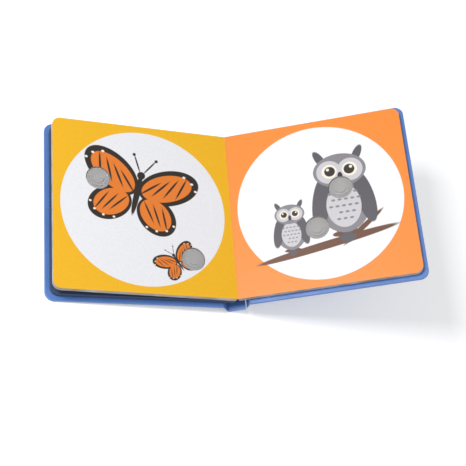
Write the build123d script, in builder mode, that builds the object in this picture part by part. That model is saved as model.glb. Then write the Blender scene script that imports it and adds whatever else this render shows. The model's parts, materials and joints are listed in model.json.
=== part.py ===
"""Board book with clear popping buttons, lying open at a spread.

The front half (cover, two leaves) lies on the table and carries the back half (leaf, cover),
which stands up about the gutter. A loose spine board hangs between the two covers on two
strips of the cover wrap. Millimetres, +Z up, +X to the reader's right, +Y towards the head.
The origin is on the table, below the middle of the book's outer box.
"""

import os
from math import acos, atan2, cos, degrees, hypot, radians, sin

from build123d import *

# Leaves
page_width = 178.0  # gutter to fore-edge
page_height = 178.0  # tail to head
leaf_thickness = 5.5
leaf_corner = 8.0
glue_ply_thickness = 1.25  # narrower ply that pastes an outer leaf to its cover
glue_ply_inset = 1.5
binding_depth = 8.0  # how far from the gutter the two left leaves are stuck together
fan_angle = 2.7  # between the two left leaves

# Case: boards, and the wrap that covers them
board_thickness = 2.4
wrap_thickness = 0.35
cover_square = 4.3  # how far a cover stands past its leaf
cover_corner = 8.5
cover_set_back = 9.5  # gutter to the fold beside a cover
spine_width = 18.0  # fold to fold
strip_width = 11.5  # fold to fold
strip_thickness = 0.7
strip_slope = 49.4  # how steeply the front strip falls to the spine
open_pivot_gap = 2.2  # the back strip stops short of the spine, where the linkage is open

# Buttons
button_radius = 12.0  # the hole that shows it
button_clearance = 0.6  # dome to hole, on the radius
flange_width = 2.4  # how far the flange reaches under the leaf's top ply
flange_clearance = 0.5  # flange to pocket, on the radius
flange_thickness = 0.8
button_travel = 1.5
dome_height = 2.15
dome_steps = 3
dome_wall = 0.8
top_ply = 2.0
left_buttons = ((134.0, 27.5), (42.5, -50.5))  # (from the gutter, from the leaf's mid-height)
right_buttons = ((111.0, 11.5), (83.5, -27.5))

# How the book lies open
back_angle = 32.6  # rise of the back half
gutter_lift = 0.2  # gutter hinge line above both pages, so that shut pages keep clear
gutter_gap = 0.3  # leaf edge to hinge line
moving_gap = 0.3  # between pieces that move on each other

cover_thickness = board_thickness + 2 * wrap_thickness
cover_height = page_height + 2 * cover_square
cover_width = page_width + cover_square
fold_gap = strip_thickness / 2 + moving_gap
pocket_height = flange_thickness + button_travel + moving_gap
outer_leaf_depth = leaf_thickness + glue_ply_thickness


def tilted(base, rise):
    """Plane whose X climbs by rise degrees, through a (x, z) point of the cross-section."""
    turn = radians(rise)
    x_dir = (cos(turn), 0, sin(turn))
    return Plane(origin=(base[0], 0, base[1]), x_dir=x_dir, z_dir=(-sin(turn), 0, cos(turn)))


def section_point(plane, along, up):
    """Place (x, z) in the cross-section of a point given on a tilted plane."""
    spot = plane.from_local_coords((along, 0, up))
    return (spot.X, spot.Z)


def bearing(start, end):
    """Rise in degrees of the line from one (x, z) point to another."""
    return degrees(atan2(end[1] - start[1], end[0] - start[0]))


def elbow(start, first, end, second):
    """Rise in degrees of the first of two links that join start to end."""
    span = hypot(end[0] - start[0], end[1] - start[1])
    opening = acos((first**2 + span**2 - second**2) / (2 * first * span))
    return bearing(start, end) - degrees(opening)


def case_planes(gutter):
    """Planes of the pages, the covers and the spine, for a gutter at an (x, z) point."""
    page = tilted((gutter[0], gutter[1] - gutter_lift), 0)
    corner = section_point(page, -gutter_gap, -leaf_thickness)
    lower = tilted(section_point(tilted(corner, fan_angle), gutter_gap, 0), fan_angle)
    raised = tilted(gutter, back_angle).offset(-gutter_lift)
    depth = outer_leaf_depth + cover_thickness / 2
    front_fold = section_point(lower, -cover_set_back, -depth)
    back_fold = section_point(raised, cover_set_back, -depth)
    strip = tilted(front_fold, -strip_slope)
    spine_start = section_point(strip, strip_width, 0)
    spine = tilted(spine_start, elbow(spine_start, spine_width, back_fold, strip_width))
    spine_end = section_point(spine, spine_width, 0)
    back_strip = tilted(back_fold, bearing(back_fold, spine_end))
    return page, lower, raised, strip, spine, back_strip


def lowest_and_middle():
    """Height below the gutter, and distance from it, of the point under the book's middle."""
    _, lower, raised, _, spine, _ = case_planes((0, 0))
    under = -outer_leaf_depth - cover_thickness
    fore_edge = section_point(lower, -cover_width, under)
    spine_edge = section_point(spine, fold_gap, -cover_thickness / 2)
    left = section_point(lower, -cover_width, -outer_leaf_depth)
    right = section_point(raised, cover_width, under)
    return min(fore_edge[1], spine_edge[1]), (left[0] + right[0]) / 2


def sheet(side, near, far, height, corner):
    """Sheet on one side of the gutter (-1 left, 1 right), rounded at its two far corners."""
    with BuildSketch() as outline:
        with Locations((side * (near + far) / 2, 0)):
            Rectangle(far - near, height)
        far_corners = outline.vertices().sort_by(Axis.X)
        fillet(far_corners[:2] if side < 0 else far_corners[-2:], corner)
    return outline.sketch


def sheet_block(plane, depth, thickness, outline, mode=Mode.ADD):
    """Board of the given outline, with its upper face at depth below a plane."""
    with BuildSketch(plane.offset(-depth)) as face:
        add(outline)
    extrude(face.sketch, amount=-thickness, mode=mode)


def leaf_sheet(side):
    """Outline of a leaf."""
    return sheet(side, gutter_gap, page_width, page_height, leaf_corner)


def glue_sheet(side):
    """Outline of the ply that pastes a leaf to its cover."""
    near = cover_set_back + fold_gap + glue_ply_inset
    far = page_width - glue_ply_inset
    return sheet(side, near, far, page_height - 2 * glue_ply_inset, leaf_corner - glue_ply_inset)


def cover_sheet(side, inset):
    """Outline of a cover, or of the board inside its wrap."""
    near = cover_set_back + fold_gap + inset
    corner = cover_corner - inset
    return sheet(side, near, cover_width - inset, cover_height - 2 * inset, corner)


def cut_button_holes(plane, side, places):
    """Stepped holes in a leaf, each with a wide pocket for a button's flange."""
    spots = [(side * along, up) for along, up in places]
    with Locations(plane):
        with Locations(*[(x, y, -leaf_thickness / 2) for x, y in spots]):
            Cylinder(button_radius, leaf_thickness, mode=Mode.SUBTRACT)
        with Locations(*[(x, y, -top_ply - pocket_height / 2) for x, y in spots]):
            Cylinder(pocket_radius, pocket_height, mode=Mode.SUBTRACT)


pocket_radius = button_radius + flange_width + flange_clearance
lowest, middle = lowest_and_middle()
left_page, lower_leaf, right_page_plane, front_strip, spine_plane, back_strip = case_planes(
    (-middle, -lowest)
)

# Left leaves: the upper one lies level, the lower one falls away from it to the fore-edge
with BuildPart() as left_pages:
    sheet_block(left_page, 0, leaf_thickness, leaf_sheet(-1))
    cut_button_holes(left_page, -1, left_buttons)
    sheet_block(lower_leaf, 0, leaf_thickness, leaf_sheet(-1))
    sheet_block(lower_leaf, leaf_thickness, glue_ply_thickness, glue_sheet(-1))
    with BuildSketch(Plane.XZ.offset(-page_height / 2)):
        with BuildLine():
            Polyline(
                section_point(left_page, -gutter_gap, -leaf_thickness),
                section_point(lower_leaf, -binding_depth, 0),
                section_point(left_page, -binding_depth, -leaf_thickness),
                close=True,
            )
        make_face()
    extrude(amount=page_height)
left_pages.part.label = "left_pages"

with BuildPart() as right_page:
    sheet_block(right_page_plane, 0, leaf_thickness, leaf_sheet(1))
    cut_button_holes(right_page_plane, 1, right_buttons)
    sheet_block(right_page_plane, leaf_thickness, glue_ply_thickness, glue_sheet(1))
right_page.part.label = "right_page"

# Covers: a board inside a closed sleeve of wrap and lining
with BuildPart() as front_cover_board:
    board_depth = outer_leaf_depth + wrap_thickness
    sheet_block(lower_leaf, board_depth, board_thickness, cover_sheet(-1, wrap_thickness))
front_cover_board.part.label = "front_cover_board"

with BuildPart() as front_cover_wrap:
    sheet_block(lower_leaf, outer_leaf_depth, cover_thickness, cover_sheet(-1, 0))
    hollow = cover_sheet(-1, wrap_thickness)
    sheet_block(lower_leaf, board_depth, board_thickness, hollow, Mode.SUBTRACT)
front_cover_wrap.part.label = "front_cover_wrap"

with BuildPart() as back_cover_board:
    sheet_block(right_page_plane, board_depth, board_thickness, cover_sheet(1, wrap_thickness))
back_cover_board.part.label = "back_cover_board"

with BuildPart() as back_cover_wrap:
    sheet_block(right_page_plane, outer_leaf_depth, cover_thickness, cover_sheet(1, 0))
    hollow = cover_sheet(1, wrap_thickness)
    sheet_block(right_page_plane, board_depth, board_thickness, hollow, Mode.SUBTRACT)
back_cover_wrap.part.label = "back_cover_wrap"


def spine_block(inset, mode=Mode.ADD):
    """Spine board, or the sleeve around it."""
    with Locations(spine_plane):
        with Locations((spine_width / 2, 0, 0)):
            Box(
                spine_width - 2 * fold_gap - 2 * inset,
                cover_height - 2 * inset,
                cover_thickness - 2 * inset,
                mode=mode,
            )


with BuildPart() as spine_board:
    spine_block(wrap_thickness)
spine_board.part.label = "spine_board"

with BuildPart() as spine_wrap:
    spine_block(0)
    spine_block(wrap_thickness, Mode.SUBTRACT)
spine_wrap.part.label = "spine_wrap"


def hinge_strip(plane, width):
    """Strip of wrap that starts at a fold, with round edges."""
    face = Plane(origin=plane.origin, x_dir=plane.x_dir, z_dir=(0, -1, 0))
    with BuildSketch(face) as slot:
        with Locations((width / 2, 0)):
            SlotCenterToCenter(width, strip_thickness)
    extrude(slot.sketch, amount=cover_height / 2, both=True)


with BuildPart() as front_hinge_strip:
    hinge_strip(front_strip, strip_width)
front_hinge_strip.part.label = "front_hinge_strip"

with BuildPart() as back_hinge_strip:
    hinge_strip(back_strip, strip_width - open_pivot_gap)
back_hinge_strip.part.label = "back_hinge_strip"


def button(plane, side, place):
    """Clear stepped dome on a flange, at rest under the leaf's top ply."""
    dome_radius = button_radius - button_clearance
    step_width = dome_radius / (dome_steps + 1)
    step_rise = dome_height / dome_steps
    centre = plane.from_local_coords((side * place[0], place[1], -top_ply - moving_gap))
    profile = [(0, dome_height - dome_wall), (dome_radius - dome_wall, -flange_thickness)]
    profile += [(button_radius + flange_width, -flange_thickness), (button_radius + flange_width, 0)]
    for step in range(dome_steps + 1):
        radius = dome_radius - step * step_width
        profile += [(radius, step * step_rise), (radius, min(step + 1, dome_steps) * step_rise)]
    profile[-1] = (0, dome_height)
    with BuildSketch(Plane(origin=centre, x_dir=plane.x_dir, z_dir=-plane.y_dir)) as half:
        with BuildLine():
            Polyline(*profile, close=True)
        make_face()
    revolve(half.sketch, axis=Axis(centre, plane.z_dir))


with BuildPart() as left_upper_button:
    button(left_page, -1, left_buttons[0])
left_upper_button.part.label = "left_upper_button"

with BuildPart() as left_lower_button:
    button(left_page, -1, left_buttons[1])
left_lower_button.part.label = "left_lower_button"

with BuildPart() as right_upper_button:
    button(right_page_plane, 1, right_buttons[0])
right_upper_button.part.label = "right_upper_button"

with BuildPart() as right_lower_button:
    button(right_page_plane, 1, right_buttons[1])
right_lower_button.part.label = "right_lower_button"

os.makedirs("parts", exist_ok=True)
pieces = (
    left_pages,
    right_page,
    front_cover_board,
    front_cover_wrap,
    back_cover_board,
    back_cover_wrap,
    spine_board,
    spine_wrap,
    front_hinge_strip,
    back_hinge_strip,
    left_upper_button,
    left_lower_button,
    right_upper_button,
    right_lower_button,
)
for piece in pieces:
    export_step(piece.part, f"parts/{piece.part.label}.step")

print("gutter", -middle, -lowest)
for name, plane in (("front strip", front_strip), ("spine", spine_plane), ("back strip", back_strip)):
    print(name, plane.origin, "rise", degrees(atan2(plane.x_dir.Z, plane.x_dir.X)))
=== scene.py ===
"""Looks of an open board book with clear popping buttons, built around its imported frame."""

import json
import logging
from dataclasses import dataclass, field
from enum import Enum
from math import cos, pi, radians, sin

import bmesh
import bpy
from mathutils import Matrix, Vector

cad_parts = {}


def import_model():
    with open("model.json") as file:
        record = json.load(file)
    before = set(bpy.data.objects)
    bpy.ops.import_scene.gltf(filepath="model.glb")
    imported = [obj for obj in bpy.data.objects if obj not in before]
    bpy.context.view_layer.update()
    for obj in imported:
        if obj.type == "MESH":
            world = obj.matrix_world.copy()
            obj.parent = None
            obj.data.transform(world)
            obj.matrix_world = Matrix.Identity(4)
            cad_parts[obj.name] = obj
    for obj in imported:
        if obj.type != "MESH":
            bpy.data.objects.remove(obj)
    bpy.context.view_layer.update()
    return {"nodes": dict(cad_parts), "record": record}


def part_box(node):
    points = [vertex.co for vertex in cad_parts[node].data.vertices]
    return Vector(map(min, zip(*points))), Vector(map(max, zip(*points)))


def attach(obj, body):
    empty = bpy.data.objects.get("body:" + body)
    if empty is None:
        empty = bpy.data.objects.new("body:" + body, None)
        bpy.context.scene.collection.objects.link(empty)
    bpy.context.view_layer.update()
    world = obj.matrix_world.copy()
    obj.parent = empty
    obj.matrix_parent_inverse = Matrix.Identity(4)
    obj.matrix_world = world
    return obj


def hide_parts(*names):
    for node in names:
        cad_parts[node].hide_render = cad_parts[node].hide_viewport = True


log = logging.getLogger("board_book")
MM = 0.001
ScreenColour = tuple[int, int, int]
COAT_ROUGHNESS = 0.12
BLOB_EDGE_SOFTNESS = 0.25  # Millimetres.
CHAIN_SHARE = 1e-9


def paint(red: int, green: int, blue: int) -> tuple[float, float, float, float]:
    """Turn a screen colour of 0 to 255 into the linear colour that shaders take."""
    levels = [channel / 255 for channel in (red, green, blue)]
    linear = [v / 12.92 if v <= 0.04045 else ((v + 0.055) / 1.055) ** 2.4 for v in levels]
    return (linear[0], linear[1], linear[2], 1.0)


class Side(Enum):
    """Half of the open book, by the side of the gutter that it lies on."""

    LEFT = -1
    RIGHT = 1


@dataclass
class Spread:
    """Where the two pages lie: the gutter, read from the frame, and each page's directions."""

    gutter: Vector = field(default_factory=Vector)
    back_angle: float = radians(32.6)
    gutter_lift: float = 0.2 * MM

    def along(self, side: Side) -> Vector:
        """Direction across a page, from the gutter to its fore-edge."""
        if side is Side.LEFT:
            return Vector((-1, 0, 0))
        return Vector((cos(self.back_angle), 0, sin(self.back_angle)))

    def normal(self, side: Side) -> Vector:
        """Direction out of a page's printed face."""
        if side is Side.LEFT:
            return Vector((0, 0, 1))
        return Vector((-sin(self.back_angle), 0, cos(self.back_angle)))

    def place(self, side: Side, out: float, up: float, lift: float = 0.0) -> Vector:
        """Point on a page.

        Args:
            side: The page.
            out: Distance from the gutter, in metres.
            up: Height above the middle of the page, in metres.
            lift: Height above the page's face, in metres.

        Returns:
            The point in the frame's metres.
        """
        base = self.gutter + self.along(side) * out + self.normal(side) * (lift - self.gutter_lift)
        return base + Vector((0, up, 0))


class Nodes:
    """Short way to write a material's nodes."""

    def __init__(self, name: str) -> None:
        """Make an empty material with a Principled shader."""
        self.material = bpy.data.materials.new(name)
        self.material.use_nodes = True
        self.tree = self.material.node_tree
        self.shader = self.tree.nodes["Principled BSDF"]
        self.coords = self.tree.nodes.new("ShaderNodeTexCoord").outputs["Object"]

    def put(self, socket: bpy.types.NodeSocket, value: object) -> None:
        """Link a socket into an input, or set the input to a plain value."""
        if isinstance(value, bpy.types.NodeSocket):
            self.tree.links.new(value, socket)
        else:
            socket.default_value = value

    def math(self, operation: str, first: object, second: object = 0.0) -> bpy.types.NodeSocket:
        """Result of a Math node."""
        node = self.tree.nodes.new("ShaderNodeMath")
        node.operation = operation
        self.put(node.inputs[0], first)
        self.put(node.inputs[1], second)
        return node.outputs[0]

    def dot(self, vector: object, direction: Vector, origin: Vector) -> bpy.types.NodeSocket:
        """Distance of a point from an origin along a direction."""
        less = self.tree.nodes.new("ShaderNodeVectorMath")
        less.operation = "SUBTRACT"
        self.put(less.inputs[0], vector)
        less.inputs[1].default_value = origin
        node = self.tree.nodes.new("ShaderNodeVectorMath")
        node.operation = "DOT_PRODUCT"
        self.put(node.inputs[0], less.outputs[0])
        node.inputs[1].default_value = direction
        return node.outputs["Value"]

    def noise(self, scale: float, detail: float) -> bpy.types.NodeSocket:
        """Noise from 0 to 1, at a scale in waves per metre."""
        node = self.tree.nodes.new("ShaderNodeTexNoise")
        self.put(node.inputs["Vector"], self.coords)
        node.inputs["Scale"].default_value = scale
        node.inputs["Detail"].default_value = detail
        return node.outputs["Fac"]

    def ramp(self, value: object, low: float, high: float, start: float, end: float) -> bpy.types.NodeSocket:
        """Value carried from one range to another, held at its ends."""
        node = self.tree.nodes.new("ShaderNodeMapRange")
        for socket, number in zip(node.inputs, (value, low, high, start, end)):
            self.put(socket, number)
        return node.outputs[0]

    def mix(self, factor: object, first: object, second: object) -> bpy.types.NodeSocket:
        """Colour between two colours."""
        node = self.tree.nodes.new("ShaderNodeMix")
        node.data_type = "RGBA"
        for index, value in ((0, factor), (6, first), (7, second)):
            self.put(node.inputs[index], value)
        return node.outputs[2]

    def bump(self, height: object, distance: float) -> None:
        """Raise the surface by a height of 0 to 1 times a distance in metres."""
        node = self.tree.nodes.new("ShaderNodeBump")
        node.inputs["Strength"].default_value = 1.0
        node.inputs["Distance"].default_value = distance
        self.put(node.inputs["Height"], height)
        self.put(self.shader.inputs["Normal"], node.outputs[0])

    def finish(self, colour: object, roughness: object, coat: float = 0.0) -> bpy.types.Material:
        """Set the shader's colour, roughness and lacquer, and hand the material over."""
        self.put(self.shader.inputs["Base Color"], colour)
        self.put(self.shader.inputs["Roughness"], roughness)
        self.shader.inputs["Coat Weight"].default_value = coat
        self.shader.inputs["Coat Roughness"].default_value = COAT_ROUGHNESS
        return self.material


@dataclass(frozen=True)
class Blob:
    """One ellipse of a printed picture, in millimetres on its page.

    Attributes:
        out: Distance of its centre from the gutter.
        up: Height of its centre above the middle of the page.
        half_width: Half its width.
        half_height: Half its height.
        colour: Its screen colour.
        turn: Its turn in degrees.
    """

    out: float
    up: float
    half_width: float
    half_height: float
    colour: ScreenColour
    turn: float = 0.0


BLACK = (32, 27, 26)
ORANGE = (226, 122, 38)
PALE = (244, 236, 220)
FUR = (132, 131, 138)
DARK_FUR = (84, 84, 92)
LIGHT_FUR = (201, 200, 205)
BARK = (104, 66, 44)
YELLOW = (238, 180, 18)
BRIGHT_ORANGE = (246, 141, 49)
# Painted shade: the left disc's white is greyer and bluer than the right one's, for the shade on the left
# page.
LEFT_WHITE_PAINTED_SHADE = (231, 232, 237)
RIGHT_WHITE = (243, 244, 248)
CUT_EDGE = (196, 194, 196)
CUT_EDGE_DARK = (158, 150, 144)
# Painted shade: dark blue laid on the lower left leaf's cut edge, for the shaded band under the top leaf.
LOWER_LEAF_PAINTED_SHADE = (58, 74, 104)
BOARD_DARK = (120, 112, 104)
BOARD_LIGHT = (150, 142, 134)
PLASTIC = (214, 212, 212)


def butterfly(out: float, up: float, size: float, turn: float) -> list[Blob]:
    """Butterfly seen from above.

    Args:
        out: Distance of its body from the gutter.
        up: Height of its body.
        size: Span of its wings.
        turn: Turn of the whole figure in degrees.

    Returns:
        Its blobs, from the bottom layer up.
    """
    blobs = []
    tilt = radians(turn)

    def add(x: float, y: float, wide: float, high: float, colour: ScreenColour, lean: float) -> None:
        """Add a blob placed in the figure's own unit frame."""
        across = (x * cos(tilt) - y * sin(tilt)) * size
        above = (x * sin(tilt) + y * cos(tilt)) * size
        blobs.append(Blob(out + across, up + above, wide * size, high * size, colour, lean + turn))

    for hand in (-1, 1):
        add(0.20 * hand, -0.15, 0.19, 0.15, BLACK, -38 * hand)
        add(0.25 * hand, 0.14, 0.27, 0.16, BLACK, 30 * hand)
    for hand in (-1, 1):
        add(0.19 * hand, -0.14, 0.155, 0.115, ORANGE, -38 * hand)
        add(0.235 * hand, 0.13, 0.225, 0.12, ORANGE, 30 * hand)
        # Veins of the upper wing, then of the lower one.
        for step in range(4):
            x, y, lean = 0.10 + 0.085 * step, 0.085 + 0.028 * step, -42 + 9 * step
            add(x * hand, y, 0.009, 0.105, BLACK, lean * hand)
        for step in range(3):
            x, y, lean = 0.13 + 0.07 * step, -0.13 - 0.012 * step, 35 - 6 * step
            add(x * hand, y, 0.008, 0.095, BLACK, lean * hand)
        # Pale spots along the rims of both wings.
        for step in range(5):
            angle = radians(66 - 26 * step)
            add((0.27 + 0.215 * cos(angle)) * hand, 0.155 + 0.145 * sin(angle), 0.013, 0.010, PALE, 0)
        for step in range(4):
            angle = radians(-18 - 32 * step)
            add((0.205 + 0.16 * cos(angle)) * hand, -0.15 + 0.13 * sin(angle), 0.011, 0.009, PALE, 0)
        # Feeler and its tip.
        add(0.055 * hand, 0.275, 0.007, 0.09, BLACK, -28 * hand)
        add(0.097 * hand, 0.352, 0.014, 0.014, BLACK, 0)
    add(0, 0.0, 0.026, 0.20, BLACK, 0)
    add(0, 0.175, 0.034, 0.036, BLACK, 0)
    return blobs


def owl(out: float, up: float, size: float) -> list[Blob]:
    """Owl that faces the reader, with its feet on a branch.

    Args:
        out: Distance of its middle from the gutter.
        up: Height of its middle.
        size: Its height.

    Returns:
        Its blobs, from the bottom layer up.
    """
    parts = [
        (0, -0.44, 0.11, 0.16, DARK_FUR, 0),
        (0, -0.08, 0.30, 0.40, FUR, 0),
        (-0.235, -0.10, 0.095, 0.31, DARK_FUR, -10),
        (0.235, -0.10, 0.095, 0.31, DARK_FUR, 10),
        (0, -0.17, 0.185, 0.25, LIGHT_FUR, 0),
    ]
    for row in range(5):
        for column in range(-2 + row // 3, 3 - row // 3):
            shift = 0.03 if row % 2 else 0.0
            parts.append((column * 0.068 + shift, -0.02 - 0.075 * row, 0.022, 0.013, FUR, 0))
    parts += [
        (-0.20, 0.41, 0.045, 0.12, DARK_FUR, 28),
        (0.20, 0.41, 0.045, 0.12, DARK_FUR, -28),
        (0, 0.25, 0.285, 0.20, FUR, 0),
        (-0.115, 0.245, 0.135, 0.135, LIGHT_FUR, 0),
        (0.115, 0.245, 0.135, 0.135, LIGHT_FUR, 0),
    ]
    for hand in (-1, 1):
        parts += [
            (0.11 * hand, 0.25, 0.082, 0.082, PALE, 0),
            (0.105 * hand, 0.25, 0.058, 0.058, BLACK, 0),
            (0.125 * hand, 0.275, 0.017, 0.017, PALE, 0),
            (0.10 * hand, -0.49, 0.055, 0.026, BARK, 0),
        ]
    parts.append((0, 0.175, 0.028, 0.055, BLACK, 0))
    return [Blob(out + x * size, up + y * size, w * size, h * size, c, t) for x, y, w, h, c, t in parts]


@dataclass(frozen=True)
class PageFinish:
    """Printed, varnished leaf: a white disc on a field of colour, with a simple picture.

    Attributes:
        side: The page.
        field_colour: Colour of the page around the disc.
        disc_colour: Colour of the disc.
        picture: The picture's blobs, from the bottom layer up.
        disc_out: Distance of the disc's centre from the gutter, in millimetres.
        disc_radius: Radius of the disc, in millimetres.
        face_band: Depths between which the cut edge gives way to the print.
        lip_band: Depths between which the page's colour wraps onto the edge.
        painted_shade_band: Depths between which the painted shade on the lower leaf's edge gives way to the
            upper leaf's edge.
    """

    side: Side
    field_colour: ScreenColour
    disc_colour: ScreenColour
    picture: tuple[Blob, ...]
    disc_out: float = 89
    disc_radius: float = 82
    face_band: tuple[float, float] = (-0.35 * MM, -0.25 * MM)
    lip_band: tuple[float, float] = (-0.6 * MM, -0.35 * MM)
    painted_shade_band: tuple[float, float] = (-5.72 * MM, -5.65 * MM)

    def material(self, spread: Spread) -> bpy.types.Material:
        """Make the leaf's material.

        Args:
            spread: Where the pages lie.

        Returns:
            The material, in which the printed face and the cut edges differ.
        """
        nodes = Nodes(f"{self.side.name.lower()}_leaf_print")
        along = spread.along(self.side)
        out = nodes.dot(nodes.coords, along, spread.gutter)
        depth = nodes.dot(nodes.coords, spread.normal(self.side), spread.gutter)
        height = nodes.dot(nodes.coords, Vector((0, 1, 0)), Vector())
        page = nodes.tree.nodes.new("ShaderNodeCombineXYZ")
        nodes.put(page.inputs[0], out)
        nodes.put(page.inputs[1], height)
        flat = page.outputs[0]
        colour: object = paint(*self.field_colour)
        disc = Blob(self.disc_out, 0, self.disc_radius, self.disc_radius, self.disc_colour)
        for blob in (disc, *self.picture):
            colour = self._lay(nodes, flat, colour, blob)
        grain = nodes.ramp(nodes.noise(700, 4), 0.3, 0.7, 0, 0.09)
        colour = nodes.mix(grain, colour, paint(*(channel // 2 for channel in self.field_colour)))
        face = nodes.ramp(depth, *self.face_band, 0, 1)
        layers = nodes.noise(60, 2)
        edge = nodes.mix(nodes.ramp(layers, 0.3, 0.7, 0, 1), paint(*CUT_EDGE), paint(*CUT_EDGE_DARK))
        # Painted shade: below the lower leaf's depth, the cut edge is painted dark blue for the shade under
        # the top leaf.
        inner = nodes.ramp(depth, *self.painted_shade_band, 0, 1)
        edge = nodes.mix(inner, paint(*LOWER_LEAF_PAINTED_SHADE), edge) if self.side is Side.LEFT else edge
        lip = nodes.ramp(depth, *self.lip_band, 0, 1)
        edge = nodes.mix(lip, edge, paint(*self.field_colour))
        nodes.bump(nodes.noise(1400, 2), 0.004 * MM)
        return nodes.finish(nodes.mix(face, edge, colour), nodes.ramp(face, 0, 1, 0.8, 0.42), 0.08)

    @staticmethod
    def _lay(nodes: Nodes, flat: object, under: object, blob: Blob) -> bpy.types.NodeSocket:
        """Lay one blob over what is printed so far.

        The blob's place takes a billionth of the colour below it, too little to see, so that
        the blobs are worked out one after another and never fill the shader's small memory.
        """
        if isinstance(under, bpy.types.NodeSocket):
            chain = nodes.tree.nodes.new("ShaderNodeVectorMath")
            chain.operation = "MULTIPLY_ADD"
            nodes.put(chain.inputs[0], under)
            chain.inputs[1].default_value = (CHAIN_SHARE,) * 3
            nodes.put(chain.inputs[2], flat)
            flat = chain.outputs[0]
        place = nodes.tree.nodes.new("ShaderNodeMapping")
        place.vector_type = "TEXTURE"
        nodes.put(place.inputs["Vector"], flat)
        place.inputs["Location"].default_value = (blob.out * MM, blob.up * MM, 0)
        place.inputs["Rotation"].default_value = (0, 0, radians(blob.turn))
        place.inputs["Scale"].default_value = (blob.half_width * MM, blob.half_height * MM, 1)
        length = nodes.tree.nodes.new("ShaderNodeVectorMath")
        length.operation = "LENGTH"
        nodes.put(length.inputs[0], place.outputs[0])
        soft = BLOB_EDGE_SOFTNESS / min(blob.half_width, blob.half_height)
        inside = nodes.ramp(length.outputs["Value"], 1 - soft, 1 + soft, 1, 0)
        return nodes.mix(inside, under, paint(*blob.colour))


@dataclass(frozen=True)
class WrapFinish:
    """Blue laminated paper of the case, with faint ripples and scuffs.

    Attributes:
        colour: Its screen colour.
        worn: Screen colour of the scuffs.
    """

    colour: ScreenColour = (84, 124, 192)
    worn: ScreenColour = (128, 160, 214)

    def material(self) -> bpy.types.Material:
        """Make the wrap's material."""
        nodes = Nodes("blue_laminate")
        cloudy = nodes.ramp(nodes.noise(45, 3), 0.3, 0.7, 0, 1)
        colour = nodes.mix(cloudy, paint(*self.colour), paint(*(c + 7 for c in self.colour)))
        scuffs = nodes.ramp(nodes.noise(1300, 5), 0.66, 0.8, 0, 0.5)
        colour = nodes.mix(scuffs, colour, paint(*self.worn))
        ripples = nodes.math("ADD", nodes.noise(220, 2), nodes.math("MULTIPLY", nodes.noise(1600, 2), 0.15))
        nodes.bump(ripples, 0.12 * MM)
        return nodes.finish(colour, nodes.ramp(cloudy, 0, 1, 0.28, 0.36), 0.35)


@dataclass(frozen=True)
class BoardFinish:
    """Bare greyboard."""

    def material(self) -> bpy.types.Material:
        """Make the greyboard's material."""
        nodes = Nodes("greyboard")
        fibres = nodes.noise(2500, 4)
        nodes.bump(fibres, 0.03 * MM)
        return nodes.finish(nodes.mix(fibres, paint(*BOARD_DARK), paint(*BOARD_LIGHT)), 0.85)


@dataclass(frozen=True)
class ClearFinish:
    """Formed plastic of the buttons, see-through by half.

    Attributes:
        transmission: Share of the light that passes through.
        refraction: Refractive index.
    """

    transmission: float = 0.5
    refraction: float = 1.45

    def material(self) -> bpy.types.Material:
        """Make the buttons' material."""
        nodes = Nodes("clear_plastic")
        nodes.shader.inputs["Transmission Weight"].default_value = self.transmission
        nodes.shader.inputs["IOR"].default_value = self.refraction
        nodes.bump(nodes.noise(400, 1), 0.01 * MM)
        return nodes.finish(paint(*PLASTIC), nodes.ramp(nodes.noise(300, 2), 0.3, 0.7, 0.03, 0.08))


def dress(node: bpy.types.Object, material: bpy.types.Material) -> None:
    """Give a piece one material."""
    node.data.materials.clear()
    node.data.materials.append(material)


def build_piece(name: str, mesh: bmesh.types.BMesh, material: bpy.types.Material) -> bpy.types.Object:
    """Turn a finished mesh into a piece of one material."""
    data = bpy.data.meshes.new(name)
    mesh.to_mesh(data)
    mesh.free()
    piece = bpy.data.objects.new(name, data)
    bpy.context.collection.objects.link(piece)
    dress(piece, material)
    return piece


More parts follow.
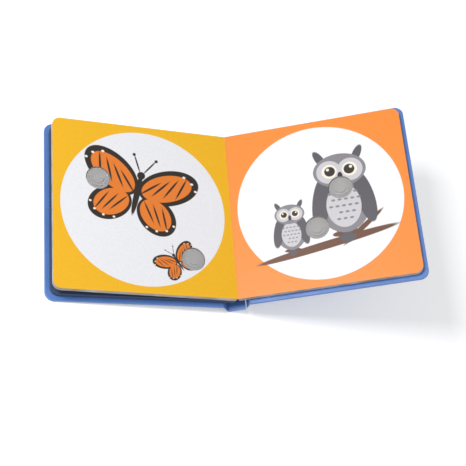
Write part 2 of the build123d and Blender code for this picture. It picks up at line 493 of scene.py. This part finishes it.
@dataclass
class CoverWrap:
    """Wrapped cover: a rounded board whose laminate is folded in at its corners.

    Attributes:
        near: Distance of its hinge edge from the gutter.
        far: Distance of its fore-edge from the gutter.
        half_height: Half its height.
        thickness: Its thickness.
        corner: Radius of its fore-edge corners.
        top: Centre of the inner face, on the plane that the distances are measured in.
        along: Direction from the hinge edge to the fore-edge.
        normal: Direction out of the inner face.
        edge_round: Width of the rounding along its rims.
        pleat_count: Number of pleats round each corner.
        pleat_depth: Depth of the pleats.
    """

    near: float
    far: float
    half_height: float
    thickness: float
    corner: float
    top: Vector
    along: Vector
    normal: Vector
    edge_round: float = 0.7 * MM
    pleat_count: int = 5
    pleat_depth: float = 0.28 * MM

    def outline(self) -> list[tuple[float, float]]:
        """Points of the cover's outline, with pleats pinched around its round corners."""
        points = [(self.near, -self.half_height)]
        steps = self.pleat_count * 6
        for hand in (-1, 1):
            centre = (self.far - self.corner, hand * (self.half_height - self.corner))
            arc = []
            for step in range(steps + 1):
                angle = step / steps * pi / 2
                pinch = self.pleat_depth * abs(sin(self.pleat_count * 2 * angle)) * sin(2 * angle)
                reach = self.corner - pinch
                arc.append((centre[0] + reach * cos(angle), centre[1] + hand * reach * sin(angle)))
            points += arc if hand > 0 else arc[::-1]
        return [*points, (self.near, self.half_height)]

    def build(self, name: str, material: bpy.types.Material) -> bpy.types.Object:
        """Make the cover's mesh.

        Args:
            name: Name of the piece.
            material: Its finish.

        Returns:
            The finished piece.
        """
        mesh = bmesh.new()
        rims = []
        for depth in (0.0, -self.thickness):
            points = [
                self.top + self.along * x + Vector((0, y, 0)) + self.normal * depth
                for x, y in self.outline()
            ]
            rims.append([mesh.verts.new(point) for point in points])
        mesh.faces.new(rims[0])
        mesh.faces.new(rims[1][::-1])
        count = len(rims[0])
        for index in range(count):
            after = (index + 1) % count
            mesh.faces.new((rims[0][index], rims[1][index], rims[1][after], rims[0][after]))
        bmesh.ops.recalc_face_normals(mesh, faces=mesh.faces)
        rim_edges = [e for rim in rims for e in mesh.edges if e.verts[0] in rim and e.verts[1] in rim]
        bmesh.ops.bevel(mesh, geom=rim_edges, offset=self.edge_round, segments=3, profile=0.5, affect="EDGES")
        bmesh.ops.triangulate(mesh, faces=[f for f in mesh.faces if len(f.verts) > 4])
        return build_piece(name, mesh, material)


@dataclass
class Gutter:
    """Printed sheet that runs from one page into the other across the gutter.

    Attributes:
        reach: How far it runs onto each page.
        bend: Share of the reach at which it starts down to the page.
        lifts: Its heights above the page at the gutter, at the bend and at its edge.
        thickness: How far it goes below the page's face.
        half_height: Half its height.
    """

    reach: float = 1.5 * MM
    bend: float = 0.4
    lifts: tuple[float, float, float] = (0.12 * MM, 0.1 * MM, 0.01 * MM)
    thickness: float = 0.08 * MM
    half_height: float = 89 * MM

    def build(self, spread: Spread, left: bpy.types.Material, right: bpy.types.Material) -> None:
        """Make a half of the fold on each page, which meet at the hinge line.

        Args:
            spread: Where the pages lie.
            left: Finish of the left page.
            right: Finish of the right page.
        """
        for side, material, body in ((Side.LEFT, left, "front_half"), (Side.RIGHT, right, "back_half")):
            mesh = bmesh.new()
            top = zip((0.0, self.reach * self.bend, self.reach), self.lifts)
            bottom = ((self.reach, -self.thickness), (0.0, -self.thickness))
            ends = (-self.half_height, self.half_height)
            rows = []
            for out, lift in (*top, *bottom):
                rows.append([mesh.verts.new(spread.place(side, out, up, lift)) for up in ends])
            for index in range(len(rows)):
                first, second = rows[index], rows[(index + 1) % len(rows)]
                mesh.faces.new((first[0], first[1], second[1], second[0]))
            mesh.faces.new([row[0] for row in rows])
            mesh.faces.new([row[1] for row in reversed(rows)])
            bmesh.ops.recalc_face_normals(mesh, faces=mesh.faces)
            piece = build_piece(f"{side.name.lower()}_gutter_fold", mesh, material)
            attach(piece, body)
            log.info("made %s", piece.name)


@dataclass
class BoardBook:
    """The whole book.

    Attributes:
        nodes: The frame's pieces by name.
        spread: Where the pages lie.
        fan: Angle between the two left leaves.
        page_width: Width of a page.
        cover_square: How far a cover stands past the page at its fore-edge.
        cover_near: Distance of a cover's hinge edge from the gutter.
        cover_thickness: Thickness of a wrapped cover.
        cover_depth: Depth of a cover's inner face below its leaf's face.
        fold_inset: Distance to the left of the gutter of the corner that the lower leaf turns on.
        fold_depth: Depth of that corner below the gutter.
        corner: Radius of the covers' fore-edge corners.
    """

    nodes: dict[str, bpy.types.Object]
    spread: Spread
    fan: float = radians(2.7)
    page_width: float = 178 * MM
    cover_square: float = 4.3 * MM
    cover_near: float = 10.15 * MM
    cover_thickness: float = 3.1 * MM
    cover_depth: float = 6.75 * MM
    fold_inset: float = 0.3 * MM
    fold_depth: float = 5.7 * MM
    corner: float = 8.5 * MM

    def pages(self) -> None:
        """Dress the leaves and lay the fold between them."""
        left_picture = (*butterfly(96, 14, 118, 14), *butterfly(58, -55, 46, -32))
        branch = (Blob(92, -47, 70, 4.2, BARK, 9), Blob(128, -34, 26, 2.6, BARK, 38))
        right_picture = (*branch, *owl(112, 7, 92), *owl(58, -22, 52))
        left = PageFinish(Side.LEFT, YELLOW, LEFT_WHITE_PAINTED_SHADE, left_picture).material(self.spread)
        right = PageFinish(Side.RIGHT, BRIGHT_ORANGE, RIGHT_WHITE, right_picture).material(self.spread)
        dress(self.nodes["left_pages"], left)
        dress(self.nodes["right_page"], right)
        Gutter().build(self.spread, left, right)

    def case(self) -> None:
        """Wrap the covers, and dress the spine and the strips."""
        wrap = WrapFinish().material()
        board = BoardFinish().material()
        for name in ("spine_wrap", "front_hinge_strip", "back_hinge_strip"):
            dress(self.nodes[name], wrap)
        for name in ("front_cover_board", "back_cover_board", "spine_board"):
            dress(self.nodes[name], board)
        low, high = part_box("front_cover_wrap")
        half_height = (high[1] - low[1]) / 2
        corner = self.spread.gutter + Vector((-self.fold_inset, 0, -self.fold_depth))
        tilt = Vector((-cos(self.fan), 0, -sin(self.fan)))
        upright = Vector((-sin(self.fan), 0, cos(self.fan)))
        front_top = corner - tilt * self.fold_inset - upright * self.cover_depth
        back_top = self.spread.place(Side.RIGHT, 0, 0, -self.cover_depth)
        halves = (
            ("front", front_top, tilt, upright),
            ("back", back_top, self.spread.along(Side.RIGHT), self.spread.normal(Side.RIGHT)),
        )
        for word, top, along, normal in halves:
            cover = CoverWrap(
                near=self.cover_near,
                far=self.page_width + self.cover_square,
                half_height=half_height,
                thickness=self.cover_thickness,
                corner=self.corner,
                top=top,
                along=along,
                normal=normal,
            )
            piece = cover.build(f"{word}_cover_laminate", wrap)
            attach(piece, f"{word}_half")
            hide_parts(f"{word}_cover_wrap", f"{word}_cover_board")
            log.info("made %s", piece.name)

    def buttons(self) -> None:
        """Dress the clear buttons."""
        clear = ClearFinish().material()
        for name, node in self.nodes.items():
            if name.endswith("_button"):
                dress(node, clear)


@dataclass(frozen=True)
class Lamp:
    """Square lamp that faces the middle of the floor.

    Attributes:
        name: Its name.
        place: Its place, in metres.
        size: Its side, in metres.
        power: Its power, in watts.
    """

    name: str
    place: tuple[float, float, float]
    size: float
    power: float


@dataclass
class Studio:
    """Pale floor, soft light and camera.

    Attributes:
        spread: Where the pages lie.
        elevation: Angle of the camera above the open book.
        azimuth: Angle of the camera round the book.
        roll: Turn of the camera about its own line of sight.
        distance: Distance of the camera from the gutter.
        shift: Sideways and upward shift of the camera, which keeps its direction.
        lens: Focal length, in millimetres.
        book_turn: Turn of the book about its gutter, which the camera shares.
        floor_size: Side of the floor.
        floor_tint: Colour of the floor.
        floor_glow: Light that the floor adds in the camera's eye alone.
        sky_strength: Strength of the white sky.
        lamps: The lamps.
    """

    spread: Spread
    elevation: float = radians(64.96)
    azimuth: float = radians(-13.81)
    roll: float = radians(10.35)
    distance: float = 1.04406
    shift: tuple[float, float] = (5.205 * MM, -17.018 * MM)
    lens: float = 81.25
    book_turn: float = radians(16.28)
    floor_size: float = 30
    floor_tint: tuple[float, float, float, float] = (0.9, 0.9, 0.9, 1)
    floor_glow: float = 0.3
    sky_strength: float = 0.47
    lamps: tuple[Lamp, ...] = (
        Lamp("key", (-0.85, 0.05, 1.1), 0.35, 12),
        Lamp("fill", (0.5, -0.9, 1.6), 1.4, 4.5),
    )

    def camera(self) -> None:
        """Look down on the spread, with the camera turned as far about the spine as the book is."""
        e, a = self.elevation, self.azimuth
        back = Vector((sin(a) * cos(e), -cos(a) * cos(e), sin(e)))
        right = (-back).cross(Vector((0, 0, 1))).normalized()
        up = right.cross(-back)
        spot = back * self.distance + right * self.shift[0] + up * self.shift[1]
        level_right = right * cos(self.roll) + up * sin(self.roll)
        level_up = up * cos(self.roll) - right * sin(self.roll)
        turn = Matrix.Rotation(-self.book_turn, 3, "Y")
        axes = Matrix((turn @ level_right, turn @ level_up, turn @ back)).transposed()
        data = bpy.data.cameras.new("camera")
        data.lens = self.lens
        camera = bpy.data.objects.new("camera", data)
        camera.matrix_world = Matrix.Translation(self.spread.gutter + turn @ spot) @ axes.to_4x4()
        bpy.context.collection.objects.link(camera)
        bpy.context.scene.camera = camera

    def floor(self) -> None:
        """Lay a floor that looks white to the camera and takes the book's shadow."""
        bpy.ops.mesh.primitive_plane_add(size=self.floor_size)
        plane = bpy.context.object
        plane.name = "floor"
        nodes = Nodes("floor_white")
        seen = nodes.tree.nodes.new("ShaderNodeLightPath").outputs["Is Camera Ray"]
        nodes.shader.inputs["Emission Color"].default_value = (1, 1, 1, 1)
        glow = nodes.math("MULTIPLY", seen, self.floor_glow)
        nodes.put(nodes.shader.inputs["Emission Strength"], glow)
        dress(plane, nodes.finish(self.floor_tint, 0.9))

    def lights(self) -> None:
        """Hang a lamp up on the left, a wide weak one on the right, and a white sky."""
        for lamp in self.lamps:
            data = bpy.data.lights.new(lamp.name, "AREA")
            data.size = lamp.size
            data.energy = lamp.power
            light = bpy.data.objects.new(lamp.name, data)
            light.location = lamp.place
            light.rotation_euler = (-Vector(lamp.place)).to_track_quat("-Z", "Y").to_euler()
            bpy.context.collection.objects.link(light)
        world = bpy.data.worlds.new("sky")
        world.use_nodes = True
        world.node_tree.nodes["Background"].inputs["Color"].default_value = (1, 1, 1, 1)
        world.node_tree.nodes["Background"].inputs["Strength"].default_value = self.sky_strength
        bpy.context.scene.world = world
        bpy.context.scene.view_settings.view_transform = "Standard"


def find_gutter(record: dict) -> Vector:
    """Point of the hinge line between the pages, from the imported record."""
    joint = next(j for j in record["behaviour"]["joints"] if j["name"] == "back_cover_hinge")
    return Vector(joint["pos_m"])


def main() -> None:
    """Build every piece in order."""
    logging.basicConfig(level=logging.INFO)
    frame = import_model()
    spread = Spread(find_gutter(frame["record"]))
    studio = Studio(spread)
    studio.camera()
    studio.floor()
    studio.lights()
    book = BoardBook(frame["nodes"], spread)
    book.pages()
    book.case()
    book.buttons()


if __name__ == "__main__":
    main()
